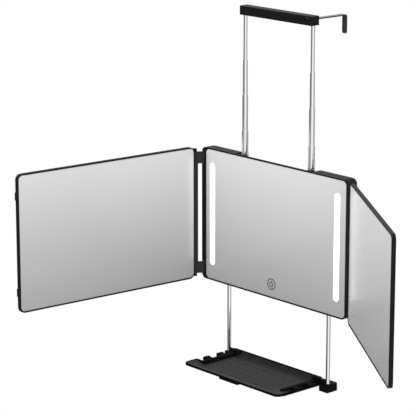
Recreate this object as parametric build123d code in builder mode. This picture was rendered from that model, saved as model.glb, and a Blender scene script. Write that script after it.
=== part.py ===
"""Trifold vanity mirror that hangs on a door: three framed mirrors on telescopic poles, with a tray below.

Millimetres, +Z up, the mirrors face -Y. The origin is the middle of the hook strap's underside,
where it rests on the top of the door.
"""
from build123d import *
from math import cos, hypot, radians, sin
import os

# ---------------------------------------------------------------- driving dimensions
# middle panel: glass, front frame and rear housing
panel_width = 336.9
panel_height = 224.8
corner_radius = 9.5
bezel = 2.4                    # frame seen round the glass
rail_width = 10.1              # broad left edge that carries the hinge link
bezel_proud = 0.6              # frame stands in front of the glass
glass_thickness = 1.6
frame_back = 4.0               # joint between frame and housing, behind the glass face
housing_depth = 25.0           # back of the housing, behind the glass face
housing_round = 7.0
wall = 2.2
glass_gap = 0.1                # all round each glass

# recess in the housing's top, and the pocket for the stowed hook
recess_side = 8.0              # recess wider than the bar, each side
recess_depth = 7.4
recess_web = 1.0               # frame left between glass and recess
pocket_clearance = 2.4

# telescopic poles, thinnest at the top
pole_inset = 5.2               # pole from the end of the bar
pole_y = 11.7
pole_diameter = 6.3
pole_wall = 0.6
pole_clearance = 0.15
pole_reach = [73.6, 57.0, 59.0, 38.0]    # how far each section stands out of the next one
pole_overlap = 28.0
collar_height = 0.6            # lowest section stands above the panel's top edge

# top bar
bar_width = 164.0
bar_depth = 17.6
bar_height = 14.6
bar_wall = 1.8
bar_round = 1.6
bar_edge = 0.8
bar_hollow = 7.4               # trough in the underside
boss_wall = 1.8                # round each pole's end in the trough
window_length = 13.0           # oval opening in the bar's front, beside the hook's pin
window_height = 4.4
window_inset = 11.0            # middle of the opening, from the bar's right-hand end

spigot_length = 6.0            # plug inside each top section

# hook strap
strap_width = 9.4
strap_thickness = 2.0
strap_level = 8.9              # underside of the strap above the bar's underside
strap_clearance = 0.3
hook_drop = 28.5               # below the strap's underside
door_gap = 55.0                # housing back to hook
hook_bend = 4.0
hook_corner = 3.0
neck_width = 7.0               # strap inside the bar
neck_relief = 0.2              # the neck is thinner from below, clear of the door's top
strap_side = 0.9               # room in front of the stowed strap
hook_pin_radius = 1.6
hook_pin_cover = 0.9           # bar left above the hook's pin

# lights and touch pad
light_width = 12.2
light_height = 174.0
light_inset = (25.55, 21.95)   # from the panel's left edge and from its right edge
light_rise = 1.2
touch_rise = 23.6              # above the panel's foot
touch_radius = 10.0

light_flange = 2.0             # light guide wider than its window in the glass

# hinges
pin_radius = 1.1
running = 0.05                 # radial clearance of a turning fit
hinge_gap = 0.4
hinge_inset = 8.4              # hinges end below the panel's top and above its foot

rail_pin_seat = 4.0            # pin in the frame beyond the link
pin_cover = 0.5                # lug left beyond the pin
lug_height = 4.6               # left wing's ears above and below the link
rail_rib_back = 6.0
rib_width = 7.0
strip_end = 1.5
strip_back = 1.4

# right wing
right_open = 35.14             # degrees forward of the panel's plane
right_hinge = (8.45, -3.1)     # pivot outside the panel's edge, and behind the glass face
right_glass_width = 317.0
right_glass_inset = 7.8        # pivot to glass edge
right_glass_ahead = 1.14       # glass in front of the pivot
right_knuckle = 3.3            # the wing's, and a little less than the panel's
knuckle_web = 1.0              # the knuckle's web runs this far into the frame
panel_knuckle = 3.6
right_split = -10.0            # height where the two knuckles meet

# left wing and the link that carries it
left_open = 85.47
left_hinge = (4.85, -10.8)
link_hinge = (3.85, 0.9)       # pivot inside the panel's edge, and behind the glass face
left_glass_width = 340.0
left_glass_inset = 4.2
left_glass_ahead = 1.0
left_bezel = 1.0               # narrow frame edge beside the link
link_thickness = 2.4
link_knuckle = 2.6
link_rail_knuckle = 2.3
link_arm = 20.0                # height of the link's two arms
link_spine = 4.4               # spine past the wing's pivot

# both wings
wing_thickness = 6.4
wing_back_thickness = 2.0
wing_lip = 2.2                 # frame left round the back panel
clip_reach = 3.5
clip_height = 16.0
clip_tip = 12.0
clip_inset = 34.4              # clip's middle from the wing's top and foot
clip_thickness = 3.0
rib_cells = 4                  # openings between the ribs along a wing
rib_thickness = 8.0

# lower rods, their ends and guides
rod_inset = 51.55              # rod from the panel's side
rod_y = 14.6
rod_diameter = 6.6
rod_wall = 1.8
rod_clearance = 0.1
rod_out = 119.2                # rod seen below the housing
rod_inside = 35.0
guide_length = 32.4
guide_wall = 1.7
stop_height = 2.0
block_size = (18.7, 22.0, 12.3)
block_outer = 4.2              # from the rod's middle to the block's outer face
block_front = 5.6              # and to its front face
block_seat = 10.0

block_corner = 3.0
block_edge = 0.8
bottom_head = 2.0
tray_pin_seat = 4.0

# tray
pivot_set = 3.3                # tray's pivot behind the front of the block
pivot_drop = 3.9               # and below its top
tray_rise = 2.5                # top of the floor above the pivot
tray_thickness = 3.5
tray_depth = 106.8
back_set = 1.7                 # back of the tray behind the pivot
root_inset = 0.3               # side flanges from the outside of the pivot lugs
flange_width = 4.2
side_run = 8.4                 # sloping sides, from their top to the flat floor
side_skin = 1.0                # underside of the sloping sides outside their top
flange_rise = 4.6              # flange round the tray above the floor
flange_thickness = 3.0
lip_width = 1.8                # flange along the front edge
ramp_length = 15.0             # the floor slopes up to the front edge
apron_side = 9.5               # widest part, at the front, beyond the side flanges
apron_length = 33.3
tray_corner = 11.0
tooth_length = 8.5
tooth_places = (56.0, 27.5)    # in front of the tray's back
tooth_head = 15.0
tooth_neck = 9.0
tooth_tip = 4.0
tooth_corner = 1.3
rim_thickness = 2.4
rim_rise = 8.2                 # rim along the back above the floor
ear_length = 16.3              # raised blocks at the ends of the rim
ear_depth = 8.0
ear_gap = 0.6
lug_radius = 4.5
tray_pin_radius = 2.0
tray_pin_grip = 7.0            # pin inside the tray's lug
groove_rows = 7
groove_first = 19.3            # first groove behind the front edge
groove_length = 150.0
groove_pitch = 9.4
groove_depth = 0.5
groove_width = 1.2
drain_radius = 1.3
drain_spread = 31.7
drain_step = (16.2, 19.2)
drain_back = 10.0
tab_width = 45.0
tab_x = -5.5
tab_drop = 5.0
tab_depth = 8.0
tab_set = 0.4                  # tab behind the front edge
tab_corner = 2.0

# inside
touch_thickness = 1.2
wire_hole = 2.2                # radius of the touch pad's wire hole
battery_size = (70.0, 40.0, 7.0)
battery_place = (-20.0, 72.4)  # above the panel's foot
board_size = (50.0, 42.0)
board_place = (32.0, 27.4)     # above the panel's foot
board_back = 14.6
board_post_spread = 16.5
socket_size = (9.0, 3.4, 7.5)
socket_skin = 0.5
socket_x = 30.0
light_board_thickness = 1.0
light_board_side = 0.5
light_board_margin = 8.0
pin_seat = 2.0
screw_length = 12.0
socket_grip = 16.0             # housing round each pole socket, at its top and at its foot
post_foot = 5.2                # thickening of the housing's back round each screw
screw_head = 2.7
screw_shank = 1.25
post_radius = 3.0
post_inset = 11.4              # corner posts, from the panel's sides
post_rise = 17.4               # and from its top and bottom
foot_post_rise = 14.4          # lower middle posts
middle_post_x = 60.0
board_thickness = 1.6
sink = 2.5                     # countersink of the housing's screws

# ---------------------------------------------------------------- places that follow
pole_x = bar_width / 2 - pole_inset
recess_width = bar_width + 2 * recess_side
pole_radii = [pole_diameter / 2]
for _ in pole_reach:
    pole_radii.append(pole_radii[-1] + pole_clearance + pole_wall)
bar_bottom = -strap_level
pole_tops = [bar_bottom]
for reach in pole_reach:
    pole_tops.append(pole_tops[-1] - reach)
panel_x = -pole_x
panel_y = -door_gap / 2 - housing_depth
panel_top = panel_height / 2
panel_z = pole_tops[-1] - collar_height - panel_top

hinge_half = panel_top - hinge_inset
rail_pin_half = hinge_half + rail_pin_seat
left_pin_half = hinge_half + hinge_gap + lug_height - pin_cover
right_pivot = (panel_width / 2 + right_hinge[0], right_hinge[1])
left_pivot = (-panel_width / 2 - left_hinge[0], left_hinge[1])
link_pivot = (-panel_width / 2 + link_hinge[0], link_hinge[1])
clip_z = panel_top - clip_inset
rod_x = panel_width / 2 - rod_inset
glass_width = panel_width - rail_width - bezel
glass_height = panel_height - 2 * bezel
glass_x = (rail_width - bezel) / 2
glass_corner = corner_radius - bezel
recess_floor = panel_top - recess_depth
recess_front = glass_thickness + recess_web
link_length = hypot(left_pivot[0] - link_pivot[0], left_pivot[1] - link_pivot[1])
lights = [light_inset[0] - panel_width / 2, panel_width / 2 - light_inset[1]]
touch_z = touch_rise - panel_top
board_middle = (board_place[0], board_place[1] - panel_top)
battery_middle = (battery_place[0], battery_place[1] - panel_top)
guide_radius = rod_diameter / 2 + rod_clearance + guide_wall
block_top = -panel_top - rod_out
rod_top = -panel_top + rod_inside
pole_in_y = panel_y + pole_y
bar_level = bar_bottom - panel_z
slot_low = bar_level + strap_level - strap_clearance
slot_height = strap_thickness + 2 * strap_clearance
stow_reach = door_gap / 2 + strap_thickness - pole_in_y
stop_gap = 0.4                 # left between the pole ends and the bar when closed
pole_travel = [pole_reach[0] - stop_gap] + pole_reach[1:]
pocket_floor = bar_level - sum(pole_travel) + strap_level - hook_drop - pocket_clearance
pocket_x = pole_x - stow_reach + strap_thickness / 2
pocket_width = strap_thickness + 2 * pocket_clearance
pocket_front = pole_y - strap_width / 2 - strap_side
neck_start = pole_in_y - neck_width / 2
neck_end = pole_in_y + bar_depth / 2 + strap_clearance
bar_front = pole_y - bar_depth / 2
block_x = rod_x + block_outer - block_size[0] / 2
block_y = rod_y - block_front + block_size[1] / 2
block_inner = rod_x + block_outer - block_size[0]
tray_pivot = (rod_y - block_front + pivot_set, block_top - pivot_drop)
tray_back = tray_pivot[0] + back_set
tray_front = tray_back - tray_depth
tray_floor = tray_pivot[1] + tray_rise
tray_bottom = tray_floor - tray_thickness
flange_top = tray_floor + flange_rise
flange_foot = flange_top - flange_thickness
ramp_foot = tray_front + lip_width + ramp_length
ear_outside = block_inner - ear_gap
lug_inside = ear_outside - tray_pin_grip
shelf_root = ear_outside - root_inset
mouth_half = shelf_root - flange_width
floor_half = mouth_half - side_run
tooth_reach = shelf_root + tooth_length
apron_half = shelf_root + apron_side
panel_back = housing_depth
rib_x = -panel_width / 2 + bezel + rib_width / 2 + glass_gap
screw_floor = housing_depth - sink
pole_places = [(-pole_x, pole_y), (pole_x, pole_y)]
rod_places = [(-rod_x, rod_y), (rod_x, rod_y)]
frame_screws = [(side * (panel_width / 2 - post_inset), end * (panel_top - post_rise))
                for side in (-1, 1) for end in (-1, 1)]
frame_screws += [(side * middle_post_x, foot_post_rise - panel_top) for side in (-1, 1)]


def facing(depth):
    """Plane parallel to the middle glass, depth behind its face: x right, y up, normal to the viewer."""
    return Plane(origin=(panel_x, panel_y + depth, panel_z), x_dir=(1, 0, 0), z_dir=(0, -1, 0))


def level(height):
    """Horizontal plane, height above the panel's middle: x right, y back, normal up."""
    return Plane(origin=(panel_x, panel_y, panel_z + height), x_dir=(1, 0, 0), z_dir=(0, 0, 1))


def side_on(offset):
    """Plane seen from the right, offset from the panel's middle: x to the back, y up."""
    return Plane(origin=(panel_x + offset, panel_y, panel_z), x_dir=(0, 1, 0), z_dir=(1, 0, 0))


def wing_face(pivot, along, ahead):
    """Plane parallel to a wing's glass, ahead of its pivot: x along the wing, y up."""
    normal = (along[1], -along[0])
    return Plane(
        origin=(panel_x + pivot[0] + ahead * normal[0], panel_y + pivot[1] + ahead * normal[1], panel_z),
        x_dir=(along[0], along[1], 0),
        z_dir=(normal[0], normal[1], 0),
    )


def pivot_level(pivot, along, height):
    """Horizontal plane at a pivot, turned so that x runs along the wing and y to its back."""
    return Plane(
        origin=(panel_x + pivot[0], panel_y + pivot[1], panel_z + height),
        x_dir=(along[0], along[1], 0),
        z_dir=(0, 0, 1),
    )


def export(builder, name):
    """Label one finished piece and write it."""
    builder.part.label = name
    export_step(builder.part, f"parts/{name}.step")


os.makedirs("parts", exist_ok=True)

# ---------------------------------------------------------------- hook and top bar
with BuildPart() as door_hook:
    with BuildSketch(Plane.YZ.offset(-strap_width / 2)):
        with BuildLine():
            Polyline(
                (neck_start, neck_relief),
                (neck_end, neck_relief),
                (neck_end, 0),
                (door_gap / 2, 0),
                (door_gap / 2, -hook_drop),
                (door_gap / 2 + strap_thickness, -hook_drop),
                (door_gap / 2 + strap_thickness, strap_thickness),
                (neck_start, strap_thickness),
                close=True,
            )
        make_face()
    extrude(amount=strap_width)
    inner_bend = door_hook.edges().filter_by(Axis.X).group_by(Axis.Z)[1].sort_by(Axis.Y)[-1]
    fillet(inner_bend, hook_bend - strap_thickness)
    outer_bend = door_hook.edges().filter_by(Axis.X).group_by(Axis.Y)[-1].sort_by(Axis.Z)[-1]
    fillet(outer_bend, hook_bend)
    fillet(door_hook.edges().filter_by(Axis.Y).group_by(Axis.Z)[0], hook_corner)
    # plan: narrower inside the bar, with a round end bored for the pin
    with BuildSketch(Plane.XY.offset(-hook_drop)):
        with Locations((0, (neck_end + door_gap / 2 + strap_thickness) / 2)):
            Rectangle(strap_width, door_gap / 2 + strap_thickness - neck_end)
        with Locations((0, (pole_in_y + neck_end) / 2)):
            Rectangle(neck_width, neck_end - pole_in_y)
        with Locations((0, pole_in_y)):
            Circle(neck_width / 2)
            Circle(hook_pin_radius + running, mode=Mode.SUBTRACT)
    extrude(amount=hook_drop + strap_thickness, mode=Mode.INTERSECT)
export(door_hook, "door_hook")

with BuildPart() as top_bar:
    with BuildSketch(level(bar_level)):
        with Locations((0, pole_y)):
            RectangleRounded(bar_width, bar_depth, bar_round)
    extrude(amount=bar_height)
    fillet(top_bar.faces().sort_by(Axis.Z)[-1].edges(), bar_edge)
    # trough in the underside, with a bored boss and a plug for each pole
    with BuildSketch(level(bar_level)):
        with Locations((0, pole_y)):
            RectangleRounded(bar_width - 2 * bar_wall, bar_depth - 2 * bar_wall, bar_round)
        with Locations(pole_places):
            Circle(pole_radii[0] + boss_wall, mode=Mode.SUBTRACT)
    extrude(amount=bar_hollow, mode=Mode.SUBTRACT)
    with BuildSketch(level(bar_level)):
        with Locations(pole_places):
            Circle(pole_radii[0])
    extrude(amount=bar_hollow, mode=Mode.SUBTRACT)
    with BuildSketch(level(bar_level + bar_hollow)):
        with Locations(pole_places):
            Circle(pole_radii[0] - pole_wall)
    extrude(amount=-spigot_length)
    # slot that the strap turns in, open to the back
    slot_left = pocket_x - pocket_width / 2
    slot_right = pole_x + neck_width / 2 + strap_clearance
    with BuildSketch(level(slot_low)):
        with Locations(((slot_left + slot_right) / 2, (pocket_front + panel_back) / 2)):
            Rectangle(slot_right - slot_left, panel_back - pocket_front)
    extrude(amount=slot_height, mode=Mode.SUBTRACT)
    # gap that the stowed hook's drop hangs through
    with BuildSketch(level(bar_level)):
        with Locations((pocket_x, (pocket_front + panel_back) / 2)):
            Rectangle(pocket_width, panel_back - pocket_front)
    extrude(amount=strap_level, mode=Mode.SUBTRACT)
    # oval opening in the front, into the slot
    with BuildSketch(facing(bar_front)):
        with Locations((bar_width / 2 - window_inset, slot_low + slot_height / 2)):
            SlotOverall(window_length, window_height)
    extrude(amount=bar_front - pocket_front - strap_clearance, mode=Mode.SUBTRACT)
    with BuildSketch(level(bar_level + bar_hollow - pin_seat)):
        with Locations((pole_x, pole_y)):
            Circle(hook_pin_radius)
    extrude(amount=bar_height - bar_hollow + pin_seat - hook_pin_cover, mode=Mode.SUBTRACT)
export(top_bar, "top_bar")

with BuildPart() as hook_pin:
    with BuildSketch(level(bar_level + bar_hollow - pin_seat)):
        with Locations((pole_x, pole_y)):
            Circle(hook_pin_radius)
    extrude(amount=bar_height - bar_hollow + pin_seat - hook_pin_cover)
export(hook_pin, "hook_pin")

# ---------------------------------------------------------------- telescopic poles
section_tops = [bar_level + bar_hollow] + [top - panel_z for top in pole_tops[1:]]
section_ends = [top - panel_z - pole_overlap for top in pole_tops[1:]]
section_ends.append(section_tops[-1] - (section_tops[0] - section_ends[0]) - pin_seat)
pole_names = ["pole_section_1", "pole_section_2", "pole_section_3", "pole_section_4", "pole_sockets"]
for name, radius, top, end in zip(pole_names, pole_radii, section_tops, section_ends):
    with BuildPart() as pole:
        with BuildSketch(level(end)):
            with Locations(pole_places):
                Circle(radius)
                Circle(radius - pole_wall, mode=Mode.SUBTRACT)
        extrude(amount=top - end)
    export(pole, name)

# ---------------------------------------------------------------- middle panel: front frame
with BuildPart() as front_frame:
    with BuildSketch(facing(frame_back)):
        RectangleRounded(panel_width, panel_height, corner_radius)
    extrude(amount=frame_back + bezel_proud)
    # rib behind the rail, round the hinge pin
    with BuildSketch(facing(rail_rib_back)):
        with Locations((rib_x, 0)):
            Rectangle(rib_width, 2 * hinge_half)
    extrude(amount=rail_rib_back - glass_thickness)
    # right-hand edge: a strip behind the wing's knuckle and the panel's own knuckle below it
    with BuildSketch(level(-hinge_half)):
        with BuildLine():
            Polyline(
                (panel_width / 2 - bezel, -bezel_proud),
                (right_pivot[0] - right_knuckle, -bezel_proud),
                (right_pivot[0] - strip_end, strip_back),
                (panel_width / 2 - bezel, frame_back - bezel_proud),
                close=True,
            )
        make_face()
    extrude(amount=2 * hinge_half)
    with BuildSketch(level(-hinge_half)):
        with Locations(right_pivot):
            Circle(panel_knuckle)
        with BuildLine():
            Polyline(
                (panel_width / 2 - bezel, -bezel_proud),
                (right_pivot[0], -bezel_proud),
                (right_pivot[0], right_pivot[1] + panel_knuckle),
                (panel_width / 2 - bezel, frame_back - bezel_proud),
                close=True,
            )
        make_face()
        with Locations(right_pivot):
            Circle(pin_radius, mode=Mode.SUBTRACT)
    extrude(amount=hinge_half + right_split - hinge_gap / 2)
    # screw posts
    with BuildSketch(facing(glass_thickness)):
        with Locations(frame_screws):
            Circle(post_radius)
    extrude(amount=-(housing_depth - post_foot - glass_thickness))
    with BuildSketch(facing(housing_depth - post_foot)):
        with Locations(frame_screws):
            Circle(screw_shank)
    extrude(amount=screw_length, mode=Mode.SUBTRACT)
    # seat of the glass
    with BuildSketch(facing(glass_thickness)):
        with Locations((glass_x, 0)):
            RectangleRounded(glass_width, glass_height, glass_corner)
    extrude(amount=glass_thickness + bezel_proud, mode=Mode.SUBTRACT)
    # windows of the lights, seat of the touch pad and its wire hole
    with BuildSketch(facing(frame_back)):
        with Locations([(x, light_rise) for x in lights]):
            SlotOverall(light_height + light_flange, light_width + light_flange, rotation=90)
        with Locations((0, touch_z)):
            Circle(wire_hole)
    extrude(amount=frame_back - glass_thickness, mode=Mode.SUBTRACT)
    with BuildSketch(facing(glass_thickness + touch_thickness)):
        with Locations((0, touch_z)):
            Circle(touch_radius + glass_gap)
    extrude(amount=touch_thickness, mode=Mode.SUBTRACT)
    # the frame is thin in front of the recess
    with BuildSketch(facing(housing_depth)):
        with Locations((0, panel_top)):
            Rectangle(recess_width, 2 * recess_depth)
    extrude(amount=housing_depth - recess_front, mode=Mode.SUBTRACT)
    # notches for the link's arms, and the bore of the rail's pin
    notch_right = link_pivot[0] + link_rail_knuckle + hinge_gap
    notch_back = link_pivot[1] + link_rail_knuckle + hinge_gap
    with BuildSketch(facing(notch_back)):
        with Locations([(notch_right - rail_width, end * (hinge_half - link_arm / 2)) for end in (-1, 1)]):
            Rectangle(2 * rail_width, link_arm + 2 * hinge_gap)
    extrude(amount=notch_back + 2 * bezel_proud, mode=Mode.SUBTRACT)
    with BuildSketch(level(-rail_pin_half)):
        with Locations(link_pivot):
            Circle(pin_radius)
    extrude(amount=2 * rail_pin_half, mode=Mode.SUBTRACT)
export(front_frame, "front_frame")

with BuildPart() as middle_glass:
    with BuildSketch(facing(glass_thickness)):
        with Locations((glass_x, 0)):
            RectangleRounded(glass_width - 2 * glass_gap, glass_height - 2 * glass_gap, glass_corner)
        with Locations([(x, light_rise) for x in lights]):
            SlotOverall(light_height, light_width, rotation=90, mode=Mode.SUBTRACT)
    extrude(amount=glass_thickness)
export(middle_glass, "middle_glass")

for name, x in zip(("left", "right"), lights):
    with BuildPart() as diffuser:
        with BuildSketch(facing(glass_thickness)):
            with Locations((x, light_rise)):
                SlotOverall(light_height - 2 * glass_gap, light_width - 2 * glass_gap, rotation=90)
        extrude(amount=glass_thickness)
        with BuildSketch(facing(frame_back)):
            with Locations((x, light_rise)):
                SlotOverall(
                    light_height + light_flange - 2 * glass_gap,
                    light_width + light_flange - 2 * glass_gap,
                    rotation=90,
                )
        extrude(amount=frame_back - glass_thickness)
    export(diffuser, f"light_diffuser_{name}")
    with BuildPart() as light_board:
        with BuildSketch(facing(frame_back + light_board_thickness)):
            with Locations((x, light_rise)):
                Rectangle(
                    light_width + light_flange + 2 * light_board_side,
                    light_height + light_board_margin,
                )
        extrude(amount=light_board_thickness)
    export(light_board, f"light_board_{name}")

with BuildPart() as touch_pad:
    with BuildSketch(facing(glass_thickness + touch_thickness)):
        with Locations((0, touch_z)):
            Circle(touch_radius)
    extrude(amount=touch_thickness)
export(touch_pad, "touch_pad")

# ---------------------------------------------------------------- middle panel: rear housing
pocket_size = (pocket_width, recess_floor - pocket_floor)
with BuildPart() as hollow:
    with BuildSketch(facing(housing_depth - wall)):
        RectangleRounded(panel_width - 2 * wall, panel_height - 2 * wall, corner_radius - wall)
    extrude(amount=housing_depth - wall - frame_back)
    chamfer(hollow.faces().sort_by(Axis.Y)[-1].edges(), housing_round - wall)
    # what stays inside: the recess with its pocket, sockets of the poles, guides of the rods, screw bosses
    with BuildSketch(facing(housing_depth)):
        with Locations((0, panel_top)):
            Rectangle(recess_width + 2 * wall, 2 * (recess_depth + wall))
        with Locations((pocket_x, recess_floor - pocket_size[1] / 2)):
            Rectangle(pocket_size[0] + 2 * wall, pocket_size[1] + 2 * wall)
        with Locations([(side * rod_x, guide_length / 2 - panel_top) for side in (-1, 1)]):
            Rectangle(2 * (guide_radius + wall), guide_length)
        for grip_foot in (recess_floor - socket_grip, section_ends[-1]):
            with Locations([(side * pole_x, grip_foot + socket_grip / 2) for side in (-1, 1)]):
                Rectangle(2 * (pole_radii[-1] + wall), socket_grip)
    extrude(amount=housing_depth - frame_back, mode=Mode.SUBTRACT)
    with BuildSketch(facing(housing_depth)):
        with Locations(frame_screws):
            Circle(post_radius + wall)
    extrude(amount=post_foot, mode=Mode.SUBTRACT)
    with BuildSketch(facing(board_back)):
        with Locations([(board_middle[0] + side * board_post_spread, board_middle[1]) for side in (-1, 1)]):
            Circle(post_radius)
    extrude(amount=board_back - housing_depth, mode=Mode.SUBTRACT)

with BuildPart() as rear_housing:
    with BuildSketch(facing(housing_depth)):
        RectangleRounded(panel_width, panel_height, corner_radius)
    extrude(amount=housing_depth - frame_back)
    fillet(rear_housing.faces().sort_by(Axis.Y)[-1].edges(), housing_round)
    add(hollow.part, mode=Mode.SUBTRACT)
    # recess, open to the top and the back, and the pocket below it
    with BuildSketch(facing(housing_depth)):
        with Locations((0, panel_top)):
            Rectangle(recess_width, 2 * recess_depth)
    extrude(amount=housing_depth, mode=Mode.SUBTRACT)
    with BuildSketch(facing(housing_depth)):
        with Locations((pocket_x, recess_floor - pocket_size[1] / 2)):
            Rectangle(*pocket_size)
    extrude(amount=housing_depth - pocket_front, mode=Mode.SUBTRACT)
    # bores for the pole sockets and the rod guides
    with BuildSketch(level(section_ends[-1])):
        with Locations(pole_places):
            Circle(pole_radii[-1])
    extrude(amount=panel_height, mode=Mode.SUBTRACT)
    with BuildSketch(level(-panel_top)):
        with Locations(rod_places):
            Circle(guide_radius)
    extrude(amount=guide_length, mode=Mode.SUBTRACT)
    # countersunk screw holes
    with BuildSketch(facing(housing_depth)):
        with Locations(frame_screws):
            Circle(screw_head + glass_gap)
    extrude(amount=housing_depth - screw_floor, mode=Mode.SUBTRACT)
    with BuildSketch(facing(housing_depth)):
        with Locations(frame_screws):
            Circle(screw_shank + glass_gap)
    extrude(amount=post_foot, mode=Mode.SUBTRACT)
    # charging inlet in the underside
    with BuildSketch(level(-panel_top)):
        with Locations((socket_x, board_back - board_thickness - socket_size[1] / 2)):
            SlotOverall(socket_size[0], socket_size[1])
    extrude(amount=wall, mode=Mode.SUBTRACT)
export(rear_housing, "rear_housing")

with BuildPart() as housing_screws:
    with BuildSketch(facing(screw_floor)):
        with Locations(frame_screws):
            Circle(screw_head)
    extrude(amount=screw_floor - housing_depth + glass_gap)
    with BuildSketch(facing(screw_floor)):
        with Locations(frame_screws):
            Circle(screw_shank)
    extrude(amount=screw_length)
export(housing_screws, "housing_screws")

with BuildPart() as charging_socket:
    with BuildSketch(level(-panel_top)):
        with Locations((socket_x, board_back - board_thickness - socket_size[1] / 2)):
            SlotOverall(socket_size[0], socket_size[1])
    extrude(amount=socket_size[2])
    with BuildSketch(level(-panel_top)):
        with Locations((socket_x, board_back - board_thickness - socket_size[1] / 2)):
            SlotOverall(socket_size[0] - 2 * socket_skin, socket_size[1] - 2 * socket_skin)
    extrude(amount=socket_size[2] - 2 * socket_skin, mode=Mode.SUBTRACT)
export(charging_socket, "charging_socket")

with BuildPart() as control_board:
    with BuildSketch(facing(board_back)):
        with Locations(board_middle):
            Rectangle(*board_size)
    extrude(amount=board_thickness)
export(control_board, "control_board")

with BuildPart() as battery:
    with BuildSketch(facing(housing_depth - wall)):
        with Locations(battery_middle):
            RectangleRounded(battery_size[0], battery_size[1], wall)
    extrude(amount=battery_size[2])
export(battery, "battery")

# ---------------------------------------------------------------- wings
def wing(name, pivot, along, low, high, low_bezel, high_bezel, ahead):
    """One wing from low to high along its own x: frame, glass and back panel. Returns the frame."""
    front = ahead + bezel_proud
    back = front - wing_thickness
    middle = (low + high) / 2
    glass_low = low + low_bezel
    glass_high = high - high_bezel
    cell_pitch = (high - low - rib_thickness - 2 * corner_radius) / rib_cells
    cell_rise = (panel_height - rib_thickness - 2 * corner_radius) / 2
    with BuildPart() as frame:
        with BuildSketch(wing_face(pivot, along, back)):
            with Locations((middle, 0)):
                RectangleRounded(high - low, panel_height, corner_radius)
        extrude(amount=wing_thickness)
        with BuildSketch(wing_face(pivot, along, ahead - glass_thickness)):
            with Locations(((glass_low + glass_high) / 2, 0)):
                RectangleRounded(glass_high - glass_low, glass_height, glass_corner)
        extrude(amount=glass_thickness + bezel_proud, mode=Mode.SUBTRACT)
        with BuildSketch(wing_face(pivot, along, back)):
            with Locations((middle, 0)):
                RectangleRounded(
                    high - low - 2 * wing_lip,
                    panel_height - 2 * wing_lip,
                    corner_radius - wing_lip,
                )
        extrude(amount=wing_back_thickness, mode=Mode.SUBTRACT)
        # the plate between glass and back panel is a grid of ribs
        with BuildSketch(wing_face(pivot, along, back)):
            with Locations((middle, 0)):
                with GridLocations(cell_pitch, cell_rise, rib_cells, 2):
                    Rectangle(cell_pitch - rib_thickness, cell_rise - rib_thickness)
        extrude(amount=wing_thickness, mode=Mode.SUBTRACT)
    with BuildPart() as glass:
        with BuildSketch(wing_face(pivot, along, ahead - glass_thickness)):
            with Locations(((glass_low + glass_high) / 2, 0)):
                RectangleRounded(
                    glass_high - glass_low - 2 * glass_gap,
                    glass_height - 2 * glass_gap,
                    glass_corner,
                )
        extrude(amount=glass_thickness)
    export(glass, f"{name}_glass")
    with BuildPart() as cover:
        with BuildSketch(wing_face(pivot, along, back)):
            with Locations((middle, 0)):
                cover_inset = wing_lip + glass_gap
                RectangleRounded(
                    high - low - 2 * cover_inset,
                    panel_height - 2 * cover_inset,
                    corner_radius - wing_lip,
                )
        extrude(amount=wing_back_thickness)
    export(cover, f"{name}_back")
    return frame.part


right_along = (cos(radians(right_open)), -sin(radians(right_open)))
right_low = right_glass_inset - bezel
right_high = right_glass_inset + right_glass_width + bezel
with BuildPart() as right_frame:
    add(wing("right", right_pivot, right_along, right_low, right_high, bezel, bezel, right_glass_ahead))
    knuckle_foot = right_split + hinge_gap / 2
    with BuildSketch(pivot_level(right_pivot, right_along, knuckle_foot)):
        Circle(right_knuckle)
        with Locations(((right_low + knuckle_web) / 2, right_knuckle / 2)):
            Rectangle(right_low + knuckle_web, right_knuckle)
        Circle(pin_radius + running, mode=Mode.SUBTRACT)
    extrude(amount=hinge_half - knuckle_foot)
export(right_frame, "right_frame")

with BuildPart() as right_hinge_pin:
    with BuildSketch(level(-hinge_half)):
        with Locations(right_pivot):
            Circle(pin_radius)
    extrude(amount=2 * hinge_half)
export(right_hinge_pin, "right_hinge_pin")

# the left wing's x runs from its free edge to its pivot, so that its normal faces the viewer when flat
left_along = (cos(radians(left_open)), sin(radians(left_open)))
left_high = left_bezel - left_glass_inset
left_low = -left_glass_inset - left_glass_width - bezel
with BuildPart() as left_frame:
    add(wing("left", left_pivot, left_along, left_low, left_high, bezel, left_bezel, left_glass_ahead))
    lug_foot = hinge_half + hinge_gap
    lug_front = glass_thickness - left_glass_ahead + glass_gap
    lug_back = wing_thickness - bezel_proud - left_glass_ahead
    for end in (-1, 1):
        with BuildSketch(pivot_level(left_pivot, left_along, end * lug_foot)):
            Circle(link_knuckle)
            with Locations(((left_high - wing_lip) / 2, (lug_front + lug_back) / 2)):
                Rectangle(wing_lip - left_high, lug_back - lug_front)
        extrude(amount=end * lug_height)
    with BuildSketch(pivot_level(left_pivot, left_along, -left_pin_half)):
        Circle(pin_radius)
    extrude(amount=2 * left_pin_half, mode=Mode.SUBTRACT)
export(left_frame, "left_frame")

with BuildPart() as closing_clips:
    for end in (-1, 1):
        with BuildSketch(wing_face(left_pivot, left_along, left_glass_ahead + bezel_proud)):
            with BuildLine():
                Polyline(
                    (left_low, end * clip_z - clip_height / 2),
                    (left_low, end * clip_z + clip_height / 2),
                    (left_low - clip_reach, end * clip_z + clip_tip / 2),
                    (left_low - clip_reach, end * clip_z - clip_tip / 2),
                    close=True,
                )
            make_face()
        extrude(amount=-clip_thickness)
export(closing_clips, "closing_clips")

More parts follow.
